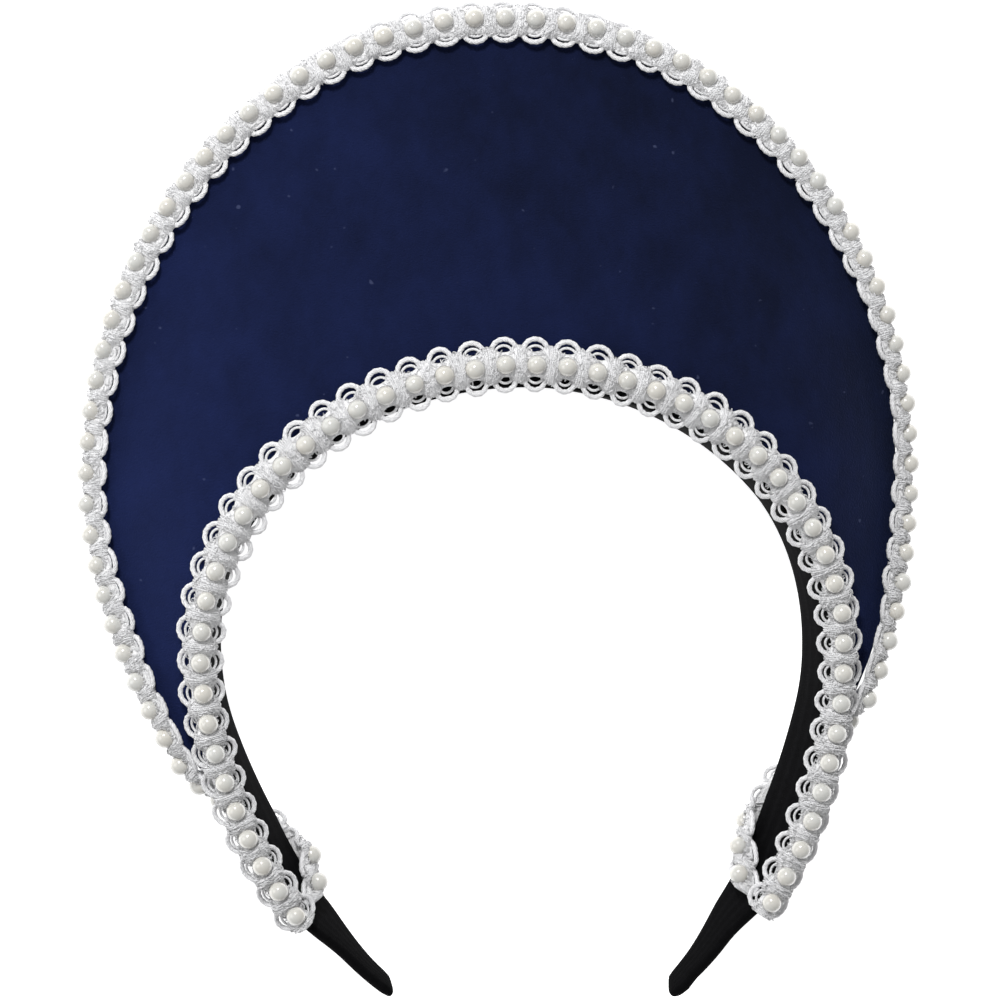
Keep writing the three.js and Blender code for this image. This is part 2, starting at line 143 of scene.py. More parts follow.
@dataclass(frozen=True)
class HoodLines:
    """The lines that every piece is set out from, in millimetres, as the solids have them."""

    head_half_width: float = 69.8
    crown_rise: float = 61.8
    leg_reach: float = 70.5
    leg_bend: float = math.radians(12)
    leg_length: float = 71.5
    tip_bend: float = math.radians(54)
    leg_tightening: float = 1.24
    crown_offset: float = 0.4
    leg_drift: float = 4.4
    band_width: float = 14.0
    band_thickness: float = 2.6
    band_edge_round: float = 0.8
    band_crown_height: float = 25.0
    band_tip_height: float = 19.5
    band_twist: float = math.radians(31)
    band_steps: int = 44
    leg_steps: int = 24
    rim_half_width: float = 89.4
    rim_rise: float = 99.6
    rim_fall: float = 100.4
    rim_centre_rise: float = 42.4
    rim_height: float = 4.6
    panel_thickness: float = 2.2
    panel_bulge: float = 2.4
    panel_tip_width: float = 2.6
    clearance: float = 0.3
    right_extra: float = 3.0
    tip_draw: float = 0.26
    tip_draw_run: tuple[float, float] = (0.855, 0.93)
    band_rows: tuple[BandRow, ...] = (
        BandRow(0, 0.1, 1), BandRow(0.35, 0.2, 1), BandRow(0.57, 0.62, 1), BandRow(0.75, 1, 1),
        BandRow(0.88, 1, 0.9), BandRow(0.985, 0.85, 0.58), BandRow(1, 0.8, 0.34))

    @property
    def bend_end(self) -> float:
        """Turn at which a leg begins."""
        return math.pi / 2 + self.leg_bend

    @property
    def band_end(self) -> float:
        """Turn at a leg's tip."""
        return self.bend_end + self.leg_length / self.leg_reach

    def leg_run(self, length: float) -> tuple[float, float]:
        """How far a leg has run in and down after a length of it."""
        step = length / self.leg_steps
        shares = [(i + 0.5) * step / self.leg_length for i in range(self.leg_steps)]
        bends = [mix(self.leg_bend, self.tip_bend, share ** self.leg_tightening) for share in shares]
        return step * sum(map(math.sin, bends)), step * sum(map(math.cos, bends))

    def band_plan(self, turn: float) -> tuple[float, float]:
        """Plan position of the band's inner front edge.

        Args:
            turn: angle from the crown, positive to the right.

        Returns:
            X and Y.
        """
        bent = min(abs(turn), self.bend_end)
        inwards, down = self.leg_run((abs(turn) - bent) * self.leg_reach)
        reach = self.crown_rise if bent < math.pi / 2 else self.leg_reach
        x = self.head_half_width * math.sin(bent) - inwards
        return math.copysign(x, turn), reach * math.cos(bent) - down

    @cached_property
    def tip_level(self) -> float:
        """Level of the legs' tips."""
        return self.band_plan(self.band_end)[1]

    def band_point(self, turn: float) -> Vector:
        """Point on the band's inner front edge."""
        x, y = self.band_plan(turn)
        fall = (self.crown_rise - y) / (self.crown_rise - self.tip_level)
        z = mix(self.band_crown_height, self.band_tip_height, fall)
        return Vector((x + self.crown_offset + self.leg_drift * fall * fall, y, z))

    def band_station(self, turn: float) -> Station:
        """Directions of the band at a turn.

        Args:
            turn: angle from the crown, positive to the right.

        Returns:
            origin, out, back (across the strip), through (its thickness), width and share of the turn.
        """
        step = math.radians(0.2)
        along = self.band_point(turn + step) - self.band_point(turn - step)
        out = Vector((-along.y, along.x, 0)).normalized()
        at = min(1.0, abs(turn) / self.band_end)
        twist = self.band_twist * row_value(self.band_rows, at, "twist")
        return {
            "origin": self.band_point(turn), "out": out,
            "back": -out * math.sin(twist) - UP * math.cos(twist),
            "through": out * math.cos(twist) - UP * math.sin(twist),
            "width": self.band_width * row_value(self.band_rows, at, "width"), "at": at,
        }

    def drawn_in(self, at: float) -> float:
        """Share of the solid's width by which the cloth is drawn in at the front edge over the tips."""
        return self.tip_draw * ease(at, *self.tip_draw_run)

    def band_section(self, turn: float) -> list[Vector]:
        """The six corners of the solid band at a turn."""
        s = self.band_station(turn)
        round_off = min(self.band_edge_round, s["width"] / 4)
        places = ((0.5, 0), (1, round_off), (1, s["width"] - round_off), (0.5, s["width"]),
                  (0, s["width"] - round_off), (0, round_off))
        return [s["origin"] + s["through"] * self.band_thickness * t + s["back"] * b for t, b in places]

    def rim_plan(self, turn: float) -> Vector:
        """Plan position of the crescent's rim."""
        reach = self.rim_rise if abs(turn) < math.pi / 2 else self.rim_fall
        y = self.rim_centre_rise + reach * math.cos(turn)
        return Vector((self.rim_half_width * math.sin(turn), y, 0))

    def panel_end(self, side: int) -> tuple[float, float]:
        """Where the crescent's end meets the band, found by halving.

        Args:
            side: -1 for the left end and 1 for the right one.

        Returns:
            The turns on the rim and on the band.
        """
        def band_turn(y: float) -> float:
            """Turn of the band at a level."""
            over, under = 0.0, self.band_end
            for _ in range(40):
                between = (over + under) / 2
                if self.band_plan(between)[1] > y:
                    over = between
                else:
                    under = between
            return side * over

        near, far = side * math.radians(100), side * math.radians(150)
        for _ in range(40):
            middle = (near + far) / 2
            rim = self.rim_plan(middle)
            s = self.band_station(band_turn(rim.y))
            if side * (rim.x - (s["origin"] + s["through"] * self.band_thickness).x) > self.panel_tip_width:
                near = middle
            else:
                far = middle
        return near, band_turn(self.rim_plan(near).y)

    def panel_line(self, share: float, ends: Ends) -> Station:
        """A line of the crescent from the band to the rim.

        Args:
            share: -1 at the left end to 1 at the right one.
            ends: both panel ends by side.

        Returns:
            front and back corner at the band, inner, middle and rim points, and the width.
        """
        rim_turn, band_turn = ends[-1 if share < 0 else 1]
        s = self.band_station(abs(share) * band_turn)
        off_band = self.band_thickness + self.clearance
        front = s["origin"] + s["through"] * off_band + s["back"] * self.clearance
        back = front + s["back"] * self.panel_thickness
        inner = front.lerp(back, 0.5)
        rim = self.rim_plan(abs(share) * rim_turn)
        rim.z = mix(self.rim_height, inner.z - self.panel_tip_width, ease(abs(share), 0.72, 1))
        width = (rim - inner).length
        middle = inner.lerp(rim, 0.5)
        middle.z += self.panel_bulge * min(1.0, 4 * (width / self.rim_rise) ** 2)
        return {"front": front, "back": back, "inner": inner, "middle": middle, "rim": rim, "width": width}

    def rim_station(self, share: float, ends: Ends) -> Station:
        """A crescent line with the rim's directions out of its edge and up out of the velvet."""
        line = self.panel_line(share, ends)
        side = -1 if share > 0.998 else 1
        along = ((self.panel_line(share + side * 0.002, ends)["rim"] - line["rim"]) * side).normalized()
        across = line["rim"] - line["middle"]
        out = (across - along * across.dot(along)).normalized()
        face = along.cross(out)
        face = face if face.z > 0 else -face
        return {**line, "out": out, "face": face.normalized()}

    def frame_shift(self) -> Vector:
        """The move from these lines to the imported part's frame, in millimetres."""
        turns = [self.band_end * (2 * i / self.band_steps - 1) for i in range(self.band_steps + 1)]
        corners = [corner for turn in turns for corner in self.band_section(turn)]
        low = Vector([min(c[i] for c in corners) for i in range(3)])
        return Vector(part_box("headband")[0]) / MM - low


@dataclass(frozen=True)
class BraidSizes:
    """Sizes that both lengths of pearl braid share, in millimetres."""

    pearl_diameter: float = 4.4
    pearl_pitch: float = 6.8
    thickness: float = 1.1
    loop_reach: float = 6.2
    notch_reach: float = 4.3
    inner_end_gap: float = 27.0
    outer_end_gap: float = 29.0
    crown_pearl_inset: float = 1.7
    front_core_half: float = 1.5
    seat_gap: float = 1.0
    fold_clearance: float = 0.65
    seat_flat: float = math.radians(130)

    @property
    def pearl_height(self) -> float:
        """Height of a pearl's centre over the braid's top."""
        return self.seat_gap - self.pearl_diameter / 2 * math.cos(self.seat_flat)


class Ribbon:
    """A braid's path, on which flat work is laid: s along it, t across it and n out of it."""

    COLUMNS = ("half_front", "half_back", "droop_front", "droop_back", "scale_front", "scale_back")

    def __init__(self, stations: list[dict], pitch: float, fold_radius: float, shift: Vector) -> None:
        """Measures the path.

        Args:
            stations: dicts of seat, facing, front and the COLUMNS.
            pitch: wanted distance between pearls.
            fold_radius: radius of the braid's folds.
            shift: move to the part's frame.
        """
        self.seat = np.array([s["seat"] for s in stations]) + np.array(shift)
        self.facing = np.array([s["facing"] for s in stations])
        self.front = np.array([s["front"] for s in stations])
        self.columns = {name: np.array([s[name] for s in stations]) for name in self.COLUMNS}
        self.lengths = run_lengths(self.seat)
        self.total = float(self.lengths[-1])
        self.count = round(self.total / pitch)
        self.pitch = self.total / self.count
        self.fold_radius = fold_radius

    def _vectors(self, values: np.ndarray, s: np.ndarray) -> np.ndarray:
        """Vectors of the path at the distances s."""
        return np.stack([np.interp(s, self.lengths, values[:, i]) for i in range(3)], axis=1)

    def frames(self, s: np.ndarray) -> tuple[np.ndarray, np.ndarray, np.ndarray]:
        """Seat, front and facing at the distances s."""
        seat = self._vectors(self.seat, s)
        front = self._vectors(self.front, s)
        front /= np.linalg.norm(front, axis=1, keepdims=True)
        facing = self._vectors(self.facing, s)
        facing -= front * np.sum(facing * front, axis=1, keepdims=True)
        facing /= np.linalg.norm(facing, axis=1, keepdims=True)
        return seat, front, facing

    def place(self, points: np.ndarray) -> np.ndarray:
        """Bends flat work onto the path.

        Args:
            points: rows of s, t, n in millimetres.

        Returns:
            Rows of X, Y, Z in metres.
        """
        s, t, n = points[:, 0], points[:, 1], points[:, 2]
        seat, front, facing = self.frames(s)
        value = {name: np.interp(s, self.lengths, column) for name, column in self.columns.items()}
        ahead = t > 0
        half = np.where(ahead, value["half_front"], value["half_back"])
        droop = np.where(ahead, value["droop_front"], value["droop_back"])
        scale = np.where(ahead, value["scale_front"], value["scale_back"])
        beyond = np.maximum(np.abs(t) - half, 0) * scale
        theta = np.minimum(beyond / self.fold_radius, droop)
        rest = np.maximum(beyond - self.fold_radius * droop, 0)
        x = np.minimum(np.abs(t), half) + self.fold_radius * np.sin(theta) + rest * np.cos(droop)
        z = -self.fold_radius * (1 - np.cos(theta)) - rest * np.sin(droop)
        x = np.sign(t) * (x + n * np.sin(theta))
        z = z + n * np.cos(theta)
        return (seat + front * x[:, None] + facing * z[:, None]) * MM


def inner_ribbon(lines: HoodLines, sizes: BraidSizes, shift: Vector) -> Ribbon:
    """Path of the braid over the joint of crescent and headband.

    Args:
        lines: the hood's lines.
        sizes: the braid's sizes.
        shift: move to the part's frame.

    Returns:
        The ribbon.
    """
    rows = (InnerRow(0, 0.86, 0, 0.035), InnerRow(0.3, 0.66, 0.01, 0.055), InnerRow(0.52, 0.44, 0.045, 0.09),
            InnerRow(0.68, 0.28, 0.09, 0.115), InnerRow(1, 0.16, 0.12, 0.12))
    end = lines.band_end - sizes.inner_end_gap / lines.leg_reach
    stations = []
    for i in range(PATH_STEPS + 1):
        turn = mix(-end, end + lines.right_extra / lines.leg_reach, i / PATH_STEPS)
        s = lines.band_station(turn)
        at = min(1.0, abs(turn) / end)
        outset = sizes.loop_reach * row_value(rows, at, "outset")
        droop_in = math.tau * row_value(rows, at, "droop_in")
        droop_out = math.tau * row_value(rows, at, "droop_out")
        lift = 2 * lines.clearance + outset * math.sin(droop_in) + sizes.thickness
        stations.append({
            "seat": s["origin"] + s["out"] * outset + UP * lift, "facing": UP, "front": s["out"],
            "half_front": 0.6, "half_back": 0.6, "droop_front": droop_out, "droop_back": droop_in,
            "scale_front": 1.0, "scale_back": 1.0})
    return Ribbon(stations, sizes.pearl_pitch, sizes.thickness, shift)


def outer_ribbon(lines: HoodLines, sizes: BraidSizes, shift: Vector) -> Ribbon:
    """Path of the braid folded over the rim and rolled round both legs.

    Args:
        lines: the hood's lines.
        sizes: the braid's sizes.
        shift: move to the part's frame.

    Returns:
        The ribbon.
    """
    leans = (LeanRow(0, 0.86, 0.84), LeanRow(0.25, 0.78, 0.8), LeanRow(0.45, 0.72, 0.75),
             LeanRow(0.65, 0.64, 0.7), LeanRow(0.85, 0.62, 0.75), LeanRow(1, 0.6, 0.75))
    rolls = (RollRow(0, 0.52, 0, 0.5, 1), RollRow(0.12, 0.74, 0.02, 0.9, 1), RollRow(0.28, 1, 0.16, 1, 1),
             RollRow(0.42, 1, 0.46, 1, 0.8), RollRow(0.58, 1, 1.1, 1, 0.7), RollRow(0.74, 0.95, 1.75, 1, 0.7),
             RollRow(0.86, 0.78, 1.98, 1, 0.8), RollRow(1, 0.5, 2, 1, 0.9))
    ends = {side: lines.panel_end(side) for side in (-1, 1)}
    rise = sizes.fold_clearance + sizes.thickness
    band_clasp = lines.band_thickness / 2 + sizes.fold_clearance
    panel_clasp = lines.panel_thickness / 2 + sizes.fold_clearance

    def on_rim(share: float) -> dict:
        """Station on the crescent's rim."""
        s = lines.rim_station(share, ends)
        turned = row_value(leans, abs(share), "lean")
        lean = math.pi / 2 * turned
        facing = s["out"] * math.cos(lean) + s["face"] * math.sin(lean)
        front = -s["out"] * math.sin(lean) + s["face"] * math.cos(lean)
        inset = mix(-lines.panel_thickness / 2, sizes.crown_pearl_inset, turned)
        room = clamp((s["width"] - sizes.loop_reach) / (2 * sizes.loop_reach), 0.5)
        flare = mix(0.22, 1.0, ease(abs(share), 0.05, 0.6))
        return {
            "seat": s["rim"] + s["face"] * (lines.panel_thickness / 2) + front * inset + facing * rise,
            "facing": facing, "front": front,
            "half_front": mix(panel_clasp, sizes.front_core_half, turned),
            "half_back": mix(panel_clasp, sizes.crown_pearl_inset + panel_clasp / 2, turned),
            "droop_front": math.pi / 2 - lean, "droop_back": math.pi / 2 * flare,
            "scale_front": room * row_value(leans, abs(share), "cover"), "scale_back": room}

    def on_leg(side: int, at: float) -> dict:
        """Station on a leg, from the panel's end down to the braid's end."""
        first = abs(ends[side][1]) + math.radians(8)
        last = lines.band_end - (sizes.outer_end_gap - max(0, side) * lines.right_extra) / lines.leg_reach
        s = lines.band_station(side * mix(first, last, at))
        roll = math.pi / 2 * row_value(rolls, at, "roll")
        facing = s["through"] * math.cos(roll) + s["back"] * math.sin(roll)
        front = s["through"] * math.sin(roll) - s["back"] * math.cos(roll)
        round_off = lines.band_thickness / 2
        down = (s["width"] - round_off) * row_value(rolls, at, "slide")
        seat = s["origin"] + s["through"] * round_off + s["back"] * down + facing * (round_off + rise)
        room = row_value(rolls, at, "room")
        droop = min(roll, math.pi - roll)
        return {"seat": seat, "facing": facing, "front": front, "half_front": band_clasp,
                "half_back": band_clasp, "droop_front": droop, "droop_back": droop,
                "scale_front": room * row_value(rolls, at, "cover"), "scale_back": room}

    stations = [on_leg(-1, i / LEG_STEPS) for i in range(LEG_STEPS, -1, -1)]
    stations += [on_rim(2 * i / PATH_STEPS - 1) for i in range(PATH_STEPS + 1)]
    stations += [on_leg(1, i / LEG_STEPS) for i in range(LEG_STEPS + 1)]
    return Ribbon(stations, sizes.pearl_pitch, sizes.thickness, shift)


class NodeBench:
    """Sets out the shader nodes of one finish."""

    def __init__(self, name: str) -> None:
        """Starts a material with its Principled shader.

        Args:
            name: the material's name.
        """
        self.material = bpy.data.materials.new(name)
        self.material.use_nodes = True
        self.tree = self.material.node_tree
        self.shader = self.tree.nodes["Principled BSDF"]
        self.column = 0
        coordinates = self.add("TexCoord")
        self.place, self.weave = coordinates.outputs["Object"], coordinates.outputs["UV"]

    def add(self, kind: str, inputs: dict | None = None, **settings: object) -> bpy.types.Node:
        """Adds a node.

        Args:
            kind: the node's type name after ShaderNode.
            inputs: socket name to a value, or to another node's output.
            settings: the node's own settings.

        Returns:
            The node.
        """
        node = self.tree.nodes.new(f"ShaderNode{kind}")
        self.column += 1
        node.location = (-180 * (self.column % 9) - 300, -220 * (self.column // 9))
        for key, value in settings.items():
            setattr(node, key, value)
        for key, value in (inputs or {}).items():
            self.feed(node, key, value)
        return node

    def feed(self, node: bpy.types.Node, key: str | int, value: object) -> None:
        """Sets a socket or links it to an output."""
        if isinstance(value, Socket):
            self.tree.links.new(value, node.inputs[key])
        else:
            node.inputs[key].default_value = value

    def ramp(self, fac: Socket, stops: Sequence[tuple[float, Sequence[float]]]) -> Socket:
        """Adds a colour ramp.

        Args:
            fac: what it reads.
            stops: position and colour of each stop.

        Returns:
            The ramp's colour output.
        """
        node = self.add("ValToRGB", {"Fac": fac})
        elements = node.color_ramp.elements
        while len(elements) < len(stops):
            elements.new(0.5)
        for element, (position, colour) in zip(elements, stops):
            element.position = position
            element.color = (*colour[:3], 1)
        return node.outputs[0]

    def noise(self, vector: Socket, scale: float, detail: float = 2.0,
              roughness: float = 0.5) -> Socket:
        """Adds a noise texture and returns its value output."""
        inputs = {"Vector": vector, "Scale": scale, "Detail": detail, "Roughness": roughness}
        return self.add("TexNoise", inputs).outputs[0]

    def math(self, operation: str, first: object, second: object, third: object = 0.0) -> Socket:
        """Adds a math node and returns its output."""
        return self.add("Math", {0: first, 1: second, 2: third}, operation=operation).outputs[0]

    def blend(self, way: str, first: Socket, second: Socket) -> Socket:
        """Mixes two colours in full and returns the result."""
        return self.add("Mix", {0: 1.0, 6: first, 7: second}, data_type="RGBA", blend_type=way).outputs[2]

    def bump(self, height: Socket, strength: float, distance: float,
             normal: Socket | None = None) -> Socket:
        """Adds a bump node and returns its normal output."""
        inputs: dict[str, object] = {"Height": height, "Strength": strength, "Distance": distance}
        if normal is not None:
            inputs["Normal"] = normal
        return self.add("Bump", inputs).outputs[0]

    def finish(self, **sockets: object) -> Material:
        """Feeds the Principled shader; names use _ for a space."""
        for key, value in sockets.items():
            self.feed(self.shader, key.replace("_", " "), value)
        return self.material


@dataclass(frozen=True)
class VelvetFinish:
    """Short-pile velvet with a brushed, mottled nap and painted light that makes it lighter towards the lower
    left.
    """

    shade: Colour = (0.0030, 0.0050, 0.019)
    lit: Colour = (0.0092, 0.0160, 0.071)
    nap: Colour = (0.12, 0.18, 0.42)
    lint: Colour = (0.03, 0.035, 0.06)
    # Slopes of the painted light across X and across Y
    lean: tuple[float, float] = (2.4, 1.6)
    base: float = -0.06

    def build(self) -> Material:
        """Makes the material."""
        bench = NodeBench("navy_velvet")
        place = bench.place
        broad = bench.noise(place, 30, 5, 0.6)
        turned = bench.add("Mapping", {"Vector": place, "Rotation": (0, 0, math.radians(35)),
                                       "Scale": (1.0, 0.6, 1.0)}).outputs[0]
        strokes = bench.noise(turned, 120, 5, 0.65)
        pile = bench.noise(place, 2600, 2, 0.6)
        # Painted light: the colour grows lighter towards the lower left and darker towards the upper right,
        # standing in for the key light that falls on the crescent's left wing; the noise on top is the
        # mottled nap
        spot = bench.add("SeparateXYZ", {"Vector": place}).outputs
        painted_light_down = bench.math("MULTIPLY_ADD", spot[1], -self.lean[1], self.base)
        lean = bench.math("MULTIPLY_ADD", spot[0], -self.lean[0], painted_light_down)
        patches_and_painted_light = bench.math("MULTIPLY_ADD", broad, 0.55, lean)
        blend = bench.math("MULTIPLY_ADD", strokes, 0.6, patches_and_painted_light)
        # The ramp runs from a shade colour to a lit one; the random mottled patches and the painted light
        # both move along it
        nap = bench.ramp(blend, ((0.2, self.shade), (0.95, self.lit)))
        lint = bench.ramp(bench.noise(place, 420, 1, 0.5), ((0.77, (0, 0, 0)), (0.82, self.lint)))
        colour = bench.blend("ADD", nap, lint)
        normal = bench.bump(strokes, 0.25, 0.0008)
        normal = bench.bump(pile, 0.8, 0.0004, normal)
        return bench.finish(Base_Color=colour, Roughness=0.9, Sheen_Weight=0.2, Sheen_Roughness=0.5,
                            Sheen_Tint=(*self.nap, 1), Specular_IOR_Level=0.08, Normal=normal)


@dataclass(frozen=True)
class ClothFinish:
    """Black plain-woven cloth with a faint nap."""

    dark: Colour = (0.0014, 0.0014, 0.0017)
    light: Colour = (0.0042, 0.0042, 0.0049)
    thread: float = 0.00042

    def build(self) -> Material:
        """Makes the material."""
        bench = NodeBench("black_cloth")
        waves = [bench.add("TexWave", {"Vector": bench.weave, "Scale": WAVE / self.thread, "Distortion": 0.6,
                                       "Detail": 1.0, "Detail Scale": 2.0},
                           bands_direction=direction).outputs["Fac"] for direction in ("X", "Y")]
        weave = bench.math("MAXIMUM", waves[0], waves[1])
        fuzz = bench.noise(bench.place, 900, 4, 0.7)
        colour = bench.ramp(bench.math("MULTIPLY", weave, fuzz), ((0.15, self.dark), (0.62, self.light)))
        normal = bench.bump(weave, 0.4, 0.00015)
        normal = bench.bump(fuzz, 0.3, 0.0002, normal)
        return bench.finish(Base_Color=colour, Roughness=0.9, Sheen_Weight=0.015, Sheen_Roughness=0.5,
                            Sheen_Tint=(0.5, 0.5, 0.52, 1), Specular_IOR_Level=0.05, Normal=normal)


@dataclass(frozen=True)
class YarnFinish:
    """White yarn with a slight silver gleam, painted shade between its strands and a painted glow that is
    brighter towards the top and left of the hood; strands run at a slant to the piece's length.
    """

    name: str = "white_yarn"
    strand: float = 0.0005
    slant: float = 38.0
    bright: Colour = (0.94, 0.94, 0.95)
    # Painted shade: the grey that the yarn falls to between its strands
    strand_gap_shade: Colour = (0.62, 0.62, 0.645)
    # Painted light: an even glow, how much more the yarn glows towards the left and towards the top, and the
    # most it may glow
    glow: float = 0.066
    painted_glow_leftwards: float = 0.41
    painted_glow_upwards: float = 1.47
    painted_glow_most: float = 0.12
    crossed: bool = False

    def strands(self, bench: NodeBench, angle: float) -> Socket:
        """Wavy bands of strands, turned by the angle on the piece's own map."""
        turn = (0, 0, math.radians(angle))
        turned = bench.add("Mapping", {"Vector": bench.weave, "Rotation": turn}).outputs[0]
        inputs = {"Vector": turned, "Scale": WAVE / self.strand, "Distortion": 1.2, "Detail": 2.0,
                  "Detail Scale": 1.5}
        return bench.add("TexWave", inputs, bands_direction="X").outputs["Fac"]

    def build(self) -> Material:
        """Makes the material."""
        bench = NodeBench(self.name)
        strands = self.strands(bench, self.slant)
        if self.crossed:
            strands = bench.math("MAXIMUM", strands, self.strands(bench, -self.slant))
        fluff = bench.noise(bench.place, 2200, 3, 0.7)
        patch = bench.noise(bench.place, 260, 2, 0.5)
        # Painted shade: the colour falls to a grey in the troughs between strands and in the lows of the
        # fluff
        shade = bench.math("MULTIPLY_ADD", strands, 0.55, bench.math("MULTIPLY", fluff, 0.6))
        colour = bench.ramp(shade, ((0.3, self.strand_gap_shade), (0.62, self.bright), (1.0, (0.97, 0.97, 0.97))))
        rough = bench.math("MULTIPLY_ADD", patch, 0.3, 0.36)
        # Painted light: the yarn glows, though it is no lamp, and the glow grows towards the lit top and left
        # of the hood to stand in for the key light there
        spot = bench.add("SeparateXYZ", {"Vector": bench.place}).outputs
        leftwards = bench.math("MULTIPLY_ADD", spot[0], -self.painted_glow_leftwards, self.glow)
        upwards = bench.math("MULTIPLY_ADD", spot[1], self.painted_glow_upwards, leftwards)
        glow = bench.math("MINIMUM", bench.math("MAXIMUM", upwards, 0.0), self.painted_glow_most)
        normal = bench.bump(strands, 0.7, 0.0002)
        normal = bench.bump(fluff, 0.9, 0.0004, normal)
        # The glow is too faint to light anything else, so it isn't sampled as a lamp
        bench.material.cycles.emission_sampling = "NONE"
        return bench.finish(Base_Color=colour, Roughness=rough, Sheen_Weight=0.3, Sheen_Roughness=0.4,
                            Specular_IOR_Level=0.45, Subsurface_Weight=0.12, Subsurface_Scale=0.0006,
                            Subsurface_Radius=(1, 1, 1), Emission_Color=colour, Emission_Strength=glow,
                            Normal=normal)


@dataclass(frozen=True)
class PearlFinish:
    """Glossy ivory imitation pearl, with painted shade that makes it a little darker and warmer towards its
    edge.
    """

    core: Colour = (0.605, 0.595, 0.56)
    edge: Colour = (0.25, 0.246, 0.235)

    def build(self) -> Material:
        """Makes the material."""
        bench = NodeBench("pearl")
        rim = bench.add("LayerWeight", {"Blend": 0.35}).outputs["Facing"]
        tint = bench.noise(bench.place, 130, 1, 0.5)
        # Painted shade: the colour darkens from the core towards the edge as the surface turns away from the
        # camera
        body = bench.ramp(rim, ((0.0, self.core), (0.45, self.core), (0.9, self.edge)))
        hue = bench.ramp(tint, ((0.35, (1.0, 0.985, 0.96)), (0.65, (0.97, 0.985, 1.0))))
        colour = bench.blend("MULTIPLY", body, hue)
        grain = bench.noise(bench.place, 900, 2, 0.5)
        normal = bench.bump(grain, 0.05, 0.0001)
        return bench.finish(Base_Color=colour, Roughness=0.2, Coat_Weight=1.0, Coat_Roughness=0.06,
                            Subsurface_Weight=0.1, Subsurface_Scale=0.0008, Subsurface_Radius=(1, 0.9, 0.8),
                            Specular_IOR_Level=0.5, Normal=normal)


@dataclass(frozen=True)
class FloorFinish:
    """Plain pale floor."""

    colour: Colour = (0.93, 0.93, 0.93)
    glow: float = 0.8

    def build(self) -> Material:
        """Makes the material."""
        bench = NodeBench("pale_floor")
        return bench.finish(Base_Color=(*self.colour, 1), Roughness=0.9, Specular_IOR_Level=0.0,
                            Emission_Color=(1, 1, 1, 1), Emission_Strength=self.glow)


class Slot(Enum):
    """The record's material slots."""

    CLOTH = "black_cloth"
    VELVET = "navy_velvet"
    BRAID = "white_braid"
    PEARL = "pearl"


def seal(bm: BMesh, name: str, material: Material) -> Piece:
    """Turns a bmesh into a smooth-shaded object of the part.

    Args:
        bm: the finished bmesh, in metres.
        name: the object's name.
        material: its material.

    Returns:
        The object.
    """
    mesh = bpy.data.meshes.new(name)
    bm.to_mesh(mesh)
    bm.free()
    mesh.polygons.foreach_set("use_smooth", [True] * len(mesh.polygons))
    mesh.materials.append(material)
    piece = bpy.data.objects.new(name, mesh)
    bpy.context.scene.collection.objects.link(piece)
    return piece


def skin(rings: np.ndarray, girth: float, length: float) -> BMesh:
    """A closed tube over rings of points: a grid rolled up, joined along its seam and capped.

    Args:
        rings: ring count by points a ring by 3, in metres.
        girth: real distance round the tube, for its weave map.
        length: real length of the tube, for its weave map.

    Returns:
        The bmesh.
    """
    count, sides = rings.shape[:2]
    bm = bmesh.new()
    weave = bm.loops.layers.uv.new("weave")
    bmesh.ops.create_grid(bm, x_segments=sides, y_segments=count - 1, size=1, calc_uvs=True)
    for vert in bm.verts:
        k = round((vert.co.x + 1) / 2 * sides) % sides
        row = round((vert.co.y + 1) / 2 * (count - 1))
        vert.co = rings[row, k]
    for face in bm.faces:
        for loop in face.loops:
            u, v = loop[weave].uv
            loop[weave].uv = (u * girth, v * length)
    bmesh.ops.remove_doubles(bm, verts=bm.verts, dist=1e-7)
    rims = [edge for edge in bm.edges if edge.is_boundary]
    bmesh.ops.holes_fill(bm, edges=rims, sides=sides)
    bmesh.ops.recalc_face_normals(bm, faces=bm.faces)
    return bm


def tube_rings(centres: np.ndarray, radius: float, sides: int, plies: int = 0,
               turns: np.ndarray | None = None) -> np.ndarray:
    """Rings round a line, plain or grooved as a twisted cord.

    Args:
        centres: points of the line.
        radius: the tube's radius.
        sides: points a ring.
        plies: plies of the cord, or 0.
        turns: twist of each ring, in radians, where there are plies.

    Returns:
        The rings.
    """
    tangent = np.gradient(centres, axis=0)
    tangent /= np.linalg.norm(tangent, axis=1, keepdims=True)
    side = np.zeros_like(centres)
    previous = np.cross(tangent[0], (0.13, 0.21, 0.97))
    for i, direction in enumerate(tangent):
        previous = previous - direction * previous.dot(direction)
        previous = previous / np.linalg.norm(previous)
        side[i] = previous
    lift = np.cross(tangent, side)
    angles = np.arange(sides) / sides * math.tau
    reach = np.full((len(centres), sides), radius)
    if plies:
        reach = radius * (1 + GROOVE * np.cos(plies * (angles[None, :] - turns[:, None])))
    return (centres[:, None, :] + side[:, None, :] * (reach * np.cos(angles)[None, :])[..., None]
            + lift[:, None, :] * (reach * np.sin(angles)[None, :])[..., None])


